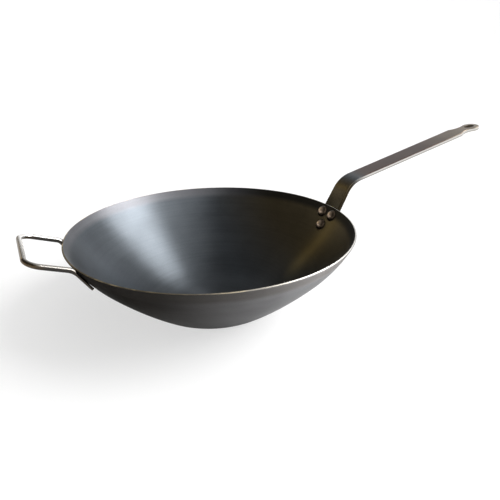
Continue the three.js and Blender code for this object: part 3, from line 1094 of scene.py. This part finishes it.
    def slot(self, share: Array, out: Array) -> Array:
        """Half outline of the slot through the eye, moved out into the steel.

        It is a quarter round, a straight stretch and another quarter round, taken evenly along its length.
        A place is a middle that travels along the straight stretch, plus the radius at the angle turned so
        far.

        Args:
            share: Share of the half outline, from the grip's end to the tip's.
            out: Distance from the slot's wall.

        Returns:
            Station and half width at each place.
        """
        radius = self.eye_radius - self.eye_wall
        quarter = radius * pi / 2.0
        gone = share * (2.0 * quarter + self.slot_travel)
        travelled = np.clip(gone - quarter, 0.0, self.slot_travel)
        angle = pi - (gone - travelled) / radius
        middle = self.eye_at - self.slot_travel + travelled
        half_width = (radius + out) * np.sin(angle)
        half_width = np.where(half_width < TINY, 0.0, half_width)
        return np.stack([middle + (radius + out) * np.cos(angle), half_width], axis=-1)

    def build(self) -> bpy.types.Object:
        """Lays out the blank's rounded skin, bends it and dresses the strip.

        Each row of the skin starts on the middle line, or on the slot, and runs over the seat face to the
        outline, round both edges, and back along the back face. The slot's wall is a patch of its own.

        Returns:
            The strip handle.
        """
        outline = self.outline()
        course = np.gradient(outline, axis=0)
        course /= np.linalg.norm(course, axis=1, keepdims=True)
        away = np.stack([-course[:, 1], course[:, 0]], axis=-1)
        away[0], away[-1] = (-1.0, 0.0), (1.0, 0.0)
        outline[[0, -1], 1] = 0.0
        rounding = np.linspace(0.0, pi / 2.0, self.round_places)
        roll_in = self.roll_radius * (1.0 - np.sin(rounding))
        roll_down = self.roll_radius * (1.0 - np.cos(rounding))
        inset = self.edge_radius * (1.0 - np.sin(rounding))
        sink = self.edge_radius * (1.0 - np.cos(rounding))
        tear = self.roll_radius + (self.thickness - self.roll_radius - self.edge_radius) * self.burnished

        slot_start = self.eye_at - self.slot_travel - (self.eye_radius - self.eye_wall) - self.edge_radius
        first = int(np.argmin(np.abs(outline[:, 0] - slot_start) + (outline[:, 0] > self.eye_at)))
        share = np.linspace(0.0, 1.0, len(outline) - first)
        spread = np.append(np.linspace(0.0, self.face_share, self.face_places), 1.0)[:, None]
        faces = []
        for radius in (self.roll_radius, self.edge_radius):
            rim = outline - radius * away
            inner = np.stack([rim[:, 0], np.zeros(len(rim))], axis=-1)
            inner[first:] = self.slot(share, np.full_like(share, self.edge_radius))
            faces.append(inner[:, None] * (1.0 - spread) + rim[:, None] * spread)

        straight = np.array([self.roll_radius + self.edge_blend, tear, tear + self.edge_blend])
        side_in = np.concatenate([roll_in[1:], np.zeros_like(straight), inset[:0:-1]])
        side_down = np.concatenate([roll_down[1:], straight, self.thickness - sink[:0:-1]])
        side_bare = np.where(side_down <= self.roll_radius, 0.0, np.where(side_down <= tear, 1.0, self.torn))
        side = outline[:, None] - side_in[:, None] * away[:, None]
        blank = np.concatenate([faces[0], side, faces[1][:, ::-1]], axis=1)
        plain = np.zeros(len(spread))
        depth = np.concatenate([plain, side_down, plain + self.thickness])
        bare = np.concatenate([plain, side_bare, plain])
        skin = self.skin(blank, depth, bare, 0.0)

        wall_in = np.concatenate([inset, inset[::-1]])
        wall_down = np.concatenate([sink, self.thickness - sink[::-1]])
        wall = self.slot(share[:, None], wall_in[None, :])
        # The slot's wall takes a share of dark scale, as painted shade.
        slot_wall = self.skin(wall, wall_down, np.zeros(len(wall_in)), self.slot_painted_shade)

        patches = [skin, mirrored(skin), slot_wall, mirrored(slot_wall)]
        return build_piece("bent_strip_handle", patches, "long_handle", self.finish.material())

    def skin(self, blank: Array, depth: Array, bare: Array, slot_shade_share: float) -> Patch:
        """A patch of the formed strip, with the blank's own places as its grain.

        Args:
            blank: Station and distance from the middle line, rows by columns.
            depth: Depth below the seat face of each column.
            bare: How bare each column is.
            slot_shade_share: Share of dark scale that the whole patch takes, as painted shade.

        Returns:
            The patch.
        """
        size = blank.shape[:2]
        points = self.form(blank, np.broadcast_to(depth, size))
        return Patch(points, blank, np.broadcast_to(bare, size), np.full(size, slot_shade_share))


@dataclass
class HelperHandle:
    """The helper handle: a rod bent to a loop, its legs turned down along the wall and pressed flat."""

    bowl: Bowl
    rod_diameter: float = 0.006
    loop_width: float = 0.0932
    loop_reach: float = 0.0458
    loop_slope: float = radians(19.3)
    corner_radius: float = 0.015
    leg_length: float = 0.030
    leg_bend_radius: float = 0.010
    flat_length: float = 0.022
    flat_thickness: float = 0.003
    flat_width: float = 0.0096
    flat_runout: float = 0.009
    seat_gap: float = 0.0003
    edge_radius: float = 0.0003
    end_places: int = 5
    spacing: float = 0.0008
    sides: int = 36
    finish: DrawnRod = field(default_factory=DrawnRod)

    def leg(self) -> tuple[Array, Array, Array]:
        """The front leg, which lies along the wall at half the loop's width and bends at the rim's height.

        Returns:
            The bend's place, the leg's end, and the wall's outward direction there.
        """
        half = self.loop_width / 2.0
        seat_out = self.seat_gap + self.flat_thickness / 2.0
        (reach, height), slope = self.bowl.wall_at(self.leg_length / 2.0, seat_out)
        back = sqrt(reach**2 - half**2)
        seat = np.array([-back, -half, height])
        up = np.array([-reach / back * cos(slope), 0.0, sin(slope)])
        up /= np.linalg.norm(up)
        out = np.array([-back, -half, 0.0]) / reach * sin(slope) - np.array([0.0, 0.0, cos(slope)])
        bend = seat + up * (self.bowl.rim_point[1] - height) / up[2]
        return bend, bend - up * self.leg_length, out

    def centre_line(self) -> tuple[Array, Array, Array]:
        """Half the rod's middle line, from the front leg's end to the middle of the crossbar.

        Straight runs are joined by arcs that touch them: from where the arc starts, it goes on by the
        radius times the sine of the angle turned, and aside by the radius times one less its cosine.

        Returns:
            Places, unit directions along the line, and unit directions square to the plane of loop or bend.
        """
        bend, end, _ = self.leg()
        out = np.array([-cos(self.loop_slope), 0.0, sin(self.loop_slope)])
        corner = bend + out * self.loop_reach
        corners = [end, bend, corner, corner * np.array([1.0, 0.0, 1.0])]
        places, courses, last = [], [], end
        for before, middle, after, radius in zip(
            corners, corners[1:], corners[2:], (self.leg_bend_radius, self.corner_radius)
        ):
            on = (middle - before) / np.linalg.norm(middle - before)
            leave = (after - middle) / np.linalg.norm(after - middle)
            turn = acos(float(on @ leave))
            aside = leave - (on @ leave) * on
            aside /= np.linalg.norm(aside)
            enter = middle - on * radius * tan(turn / 2.0)
            straight = line_points(last, enter, self.spacing)[:-1]
            angle = np.linspace(0.0, turn, 1 + int(np.ceil(turn * radius / self.spacing)))[:, None]
            places += [straight, enter + radius * (on * np.sin(angle) + aside * (1.0 - np.cos(angle)))]
            courses += [np.broadcast_to(on, straight.shape), on * np.cos(angle) + aside * np.sin(angle)]
            last = places[-1][-1]
        crossbar = line_points(last, corners[-1], self.spacing)[1:]
        places.append(crossbar)
        courses.append(np.broadcast_to(courses[-1][-1], crossbar.shape))
        course = np.concatenate(courses)
        in_plane = np.where(np.abs(course[:, 1:2]) > TINY, out, course)
        upright = np.stack([in_plane[:, 2], np.zeros(len(course)), -in_plane[:, 0]], axis=-1)
        return np.concatenate(places), course, upright

    def build(self) -> bpy.types.Object:
        """Carries the rod's section along its middle line, mirrors it and dresses the loop.

        The section is a circle, made wider and cut off at two flat faces where the leg is pressed flat. At
        its end it shrinks to a point, which makes the square-cut end with a small round at its edge.

        Returns:
            The helper handle.
        """
        places, course, upright = self.centre_line()
        _, _, out = self.leg()
        beside = np.cross(course, upright)
        thin = upright * (out @ upright[0]) + beside * (out @ beside[0])
        thin /= np.linalg.norm(thin, axis=1, keepdims=True)
        wide = np.cross(thin, course)
        distance = path_length(places)
        rounded = smoothstep(distance, self.flat_length, self.flat_length + self.flat_runout)
        half_wide = (self.flat_width + (self.rod_diameter - self.flat_width) * rounded) / 2.0
        half_thin = (self.flat_thickness + (self.rod_diameter - self.flat_thickness) * rounded) / 2.0

        turn = np.linspace(0.0, 2.0 * pi, self.sides + 1)
        across = half_wide[:, None] * np.cos(turn)
        limit = half_thin[:, None]
        through = np.clip(self.rod_diameter / 2.0 * np.sin(turn), -limit, limit)
        points = places[:, None] + across[..., None] * wide[:, None] + through[..., None] * thin[:, None]
        turned = np.linspace(0.0, pi / 2.0, self.end_places)
        scale = np.concatenate([[0.0], 1.0 - self.edge_radius * (1.0 - np.sin(turned)) / half_thin[0]])
        move = np.concatenate([[0.0], self.edge_radius * (1.0 - np.cos(turned))])
        section = points[0] - places[0]
        end = places[0] + scale[:, None, None] * section + move[:, None, None] * course[0]
        points = np.concatenate([end, points[1:]])
        rows = len(points)
        v, u = np.meshgrid(np.arange(rows) * self.spacing, turn / (2.0 * pi), indexing="ij")
        edge = np.zeros((rows, len(turn)))
        edge[:len(end)] = 1.0
        half = Patch(points, np.stack([u, v], axis=-1), edge, np.zeros(edge.shape))
        patches = [half, mirrored(half)]
        return build_piece("bent_rod_handle", patches, "helper_handle", self.finish.material())


@dataclass(frozen=True)
class Lamp:
    """A far lamp.

    Attributes:
        name: Name of the lamp.
        direction: Where it hangs, seen from the camera: right, away and up.
        strength: Energy it sends.
        angle: Angle it fills, which softens its shadows.
        colour: Colour of its light.
    """

    name: str
    direction: Way
    strength: float
    angle: float
    colour: str = "#ffffff"


@dataclass
class Studio:
    """White paper floor that sweeps up all round, the lamps and the camera.

    A soft key and a wider, lower lamp in front of it shine from the right, and a faint warm one from
    behind.
    """

    floor_radius: float = 2.2
    sweep_radius: float = 3.0
    sweep_turn: float = radians(24.0)
    slope_length: float = 4.5
    floor_segments: int = 96
    sweep_spacing: float = 0.2
    lamps: tuple[Lamp, ...] = (
        Lamp("key", (0.82, -0.05, 0.56), 3.65, radians(40.0)),
        Lamp("wide", (0.72, -0.60, 0.32), 2.3, radians(90.0)),
        Lamp("warm", (-0.6, 0.71, 0.35), 0.085, radians(6.0), "#fbe798"),
    )
    sky_direction: Way = (0.65, 0.62, 0.22)
    sky_range: Span = (0.15, 0.95)
    sky_dark: float = 0.21
    sky_bright: float = 1.15
    camera_bearing: float = radians(-20.76)
    camera_distance: float = 0.6510
    camera_elevation: float = radians(20.59)
    aim_right: float = 0.04706
    aim_up: float = -0.03142
    camera_roll: float = radians(1.07)
    rim_height: float = 0.10302
    lens: float = 38.16
    sensor: float = 36.0
    paper: MattPaper = field(default_factory=MattPaper)

    def turned(self, direction: Way) -> Vector:
        """Turns a direction seen from the camera, right, away and up, into the wok's frame."""
        return Matrix.Rotation(self.camera_bearing, 3, "Z") @ Vector(direction).normalized()

    def build_floor(self) -> bpy.types.Object:
        """Turns the floor's profile about Z: flat, then a gentle arc, then a straight slope.

        Returns:
            The floor.
        """
        centre = np.array([self.floor_radius, self.sweep_radius])
        flat = np.array([[0.0, 0.0], [self.floor_radius, 0.0]])
        sweep_end = self.sweep_turn - pi / 2.0
        sweep = arc_points(centre, self.sweep_radius, -pi / 2.0, sweep_end, self.sweep_spacing)
        slope = sweep[-1] + self.slope_length * np.array([[0.0, 0.0], along(self.sweep_turn)])
        profile = chain(flat, sweep, slope)
        plain = np.zeros(len(profile))
        patch = revolved(profile, plain, plain, self.floor_segments)
        mesh = bpy.data.meshes.new("paper_floor")
        mesh.from_pydata(patch.points.reshape(-1, 3), [], grid_faces(*patch.edge.shape)[:, ::-1])
        mesh.shade_smooth()
        mesh.materials.append(self.paper.material())
        floor = bpy.data.objects.new("paper_floor", mesh)
        bpy.context.scene.collection.objects.link(floor)
        return floor

    def light(self) -> None:
        """Hangs the lamps, and sets a world that is bright on the key's side."""
        for lamp in self.lamps:
            sun = bpy.data.lights.new(lamp.name, "SUN")
            sun.energy = lamp.strength
            sun.angle = lamp.angle
            sun.color = linear(lamp.colour)[:3]
            hung = bpy.data.objects.new(lamp.name, sun)
            hung.rotation_mode = "QUATERNION"
            hung.rotation_quaternion = self.turned(lamp.direction).to_track_quat("Z", "Y")
            bpy.context.scene.collection.objects.link(hung)
        world = bpy.data.worlds.new("studio")
        world.use_nodes = True
        world.node_tree.nodes.clear()
        add = partial(add_node, world.node_tree)
        way = add("ShaderNodeTexCoord")["Generated"]
        bright_way = tuple(self.turned(self.sky_direction))
        towards = add("ShaderNodeVectorMath", way, bright_way, operation="DOT_PRODUCT")["Value"]
        spans = (*self.sky_range, self.sky_dark, self.sky_bright)
        glow = add("ShaderNodeMapRange", towards, *spans, interpolation_type=SMOOTH)[0]
        background = add("ShaderNodeBackground", at={"Strength": glow})[0]
        add("ShaderNodeOutputWorld", background)
        bpy.context.scene.world = world

    def aim_camera(self) -> None:
        """Places the camera about the rim's middle, at the picture's viewing angle and with its roll."""
        view = Matrix.Rotation(self.camera_bearing, 3, "Z")
        lift = Vector((0.0, 0.0, self.rim_height))
        away = self.camera_distance * Vector((0.0, -cos(self.camera_elevation), sin(self.camera_elevation)))
        place = view @ away + lift
        aim = view @ Vector((self.aim_right, 0.0, self.aim_up)) + lift
        forward = (aim - place).normalized()
        level = forward.cross(Vector((0.0, 0.0, 1.0))).normalized()
        down = forward.cross(level)
        right = level * cos(self.camera_roll) + down * sin(self.camera_roll)
        up = right.cross(forward)
        lens = bpy.data.cameras.new("camera")
        lens.lens = self.lens
        lens.sensor_width = self.sensor
        camera = bpy.data.objects.new("camera", lens)
        camera.matrix_world = Matrix.Translation(place) @ Matrix((right, up, -forward)).transposed().to_4x4()
        bpy.context.scene.collection.objects.link(camera)
        bpy.context.scene.camera = camera


def report(piece: bpy.types.Object) -> None:
    """Logs a piece's name and face count."""
    LOG.info("%s: %d faces", piece.name, len(piece.data.polygons))


def main() -> None:
    """Builds the studio and the wok's pieces in order."""
    logging.basicConfig(level=logging.INFO, format="%(name)s %(message)s")
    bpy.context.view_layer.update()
    bpy.context.scene.view_settings.view_transform = "Standard"
    studio = Studio()
    studio.aim_camera()
    studio.light()
    report(studio.build_floor())
    bowl = Bowl()
    rivets = Rivets(bowl)
    handle = LongHandle(bowl, rivets)
    report(bowl.build())
    report(handle.build())
    for rivet in rivets.build(handle.seat_gap + handle.thickness):
        report(rivet)
    report(HelperHandle(bowl).build())


if __name__ == "__main__":
    main()
